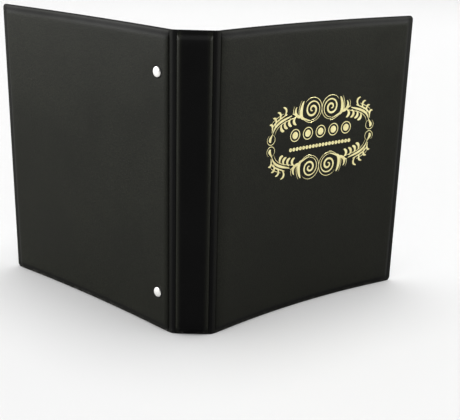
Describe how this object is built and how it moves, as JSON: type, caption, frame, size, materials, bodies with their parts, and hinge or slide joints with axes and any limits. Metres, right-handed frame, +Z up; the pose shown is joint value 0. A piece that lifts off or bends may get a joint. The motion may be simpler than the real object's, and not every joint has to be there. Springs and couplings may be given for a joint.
{
  "type": "coin album",
  "caption": "Ring-bound coin album in black leatherette, standing open on its bottom edges, with pocket leaves on a riveted ring mechanism.",
  "frame": {"origin": "middle of the spine's welded bottom edge, on the surface the album stands on", "axes": "+Z up the spine, +Y into the album away from the spine's outer face, +X towards the front cover"},
  "size_m": [0.3872, 0.199, 0.27],
  "materials": {
    "leatherette": "satin, fine pressed grain",
    "lining": "matt",
    "board": "raw",
    "nickel": "bright plated",
    "steel": "rolled",
    "leaf": "clear, glossy",
    "gold_foil": "hot foil, satin"
  },
  "bodies": {
    "back_cover": {"back_cover_skin": "leatherette", "back_cover_board": "board", "back_cover_lining": "lining", "mechanism_housing": "nickel", "rivet_top": "nickel", "rivet_bottom": "nickel"},
    "spine": {"spine_skin": "leatherette", "spine_board": "board", "spine_lining": "lining", "back_hinge_web": "leatherette", "front_hinge_web": "leatherette"},
    "front_cover": {"front_cover_skin": "leatherette", "front_cover_board": "board", "front_cover_lining": "lining", "foil_stamp": "gold_foil"},
    "outer_rings": {"outer_blade": "steel", "ring_1_outer_half": "nickel", "ring_2_outer_half": "nickel", "ring_3_outer_half": "nickel", "ring_4_outer_half": "nickel"},
    "inner_rings": {"inner_blade": "steel", "ring_1_inner_half": "nickel", "ring_2_inner_half": "nickel", "ring_3_inner_half": "nickel", "ring_4_inner_half": "nickel"},
    "lever_top": {"lever_top": "nickel"},
    "lever_bottom": {"lever_bottom": "nickel"},
    "leaf_1": {"leaf_1": "leaf"},
    "leaf_2": {"leaf_2": "leaf"},
    "leaf_3": {"leaf_3": "leaf"},
    "leaf_4": {"leaf_4": "leaf"}
  },
  "joints": [
    {"name": "spine_hinge", "type": "hinge", "parent": "back_cover", "child": "spine", "pos_m": [-0.018, 0, 0.135], "axis": [0, 0, -1], "range_deg": [-50, 120], "deforming": ["back_hinge_web"]},
    {"name": "front_cover_hinge", "type": "hinge", "parent": "spine", "child": "front_cover", "pos_m": [0.018, 0, 0.135], "axis": [0, 0, -1], "range_deg": [-54, 116], "deforming": ["front_hinge_web"]},
    {"name": "rings_open", "type": "hinge", "parent": "back_cover", "child": "outer_rings", "pos_m": [-0.03378, 0.01905, 0.135], "axis": [0, 0, 1], "range_deg": [0, 9]},
    {"name": "inner_rings_open", "type": "hinge", "parent": "back_cover", "child": "inner_rings", "pos_m": [-0.02132, 0.00734, 0.135], "axis": [0, 0, 1], "range_deg": [-9, 0]},
    {"name": "lever_top_turn", "type": "hinge", "parent": "back_cover", "child": "lever_top", "pos_m": [-0.02755, 0.0132, 0.243], "axis": [0.7285, -0.685, 0], "range_deg": [0, 20]},
    {"name": "lever_bottom_turn", "type": "hinge", "parent": "back_cover", "child": "lever_bottom", "pos_m": [-0.02755, 0.0132, 0.027], "axis": [-0.7285, 0.685, 0], "range_deg": [0, 20]},
    {"name": "leaf_1_turn", "type": "hinge", "parent": "back_cover", "child": "leaf_1", "pos_m": [-0.01974, 0.0215, 0.135], "axis": [0, 0, -1], "range_deg": [-6, 65]},
    {"name": "leaf_2_turn", "type": "hinge", "parent": "leaf_1", "child": "leaf_2", "pos_m": [-0.01974, 0.0215, 0.135], "axis": [0, 0, -1], "range_deg": [-4, 40]},
    {"name": "leaf_3_turn", "type": "hinge", "parent": "leaf_2", "child": "leaf_3", "pos_m": [-0.01974, 0.0215, 0.135], "axis": [0, 0, -1], "range_deg": [-4, 30]},
    {"name": "leaf_4_turn", "type": "hinge", "parent": "leaf_3", "child": "leaf_4", "pos_m": [-0.01974, 0.0215, 0.135], "axis": [0, 0, -1], "range_deg": [-4, 22]}
  ],
  "couplings": [
    {"joint": "inner_rings_open", "follows": "rings_open", "ratio": -1},
    {"joint": "lever_top_turn", "follows": "rings_open", "ratio": 2.2222},
    {"joint": "lever_bottom_turn", "follows": "rings_open", "ratio": 2.2222}
  ]
}
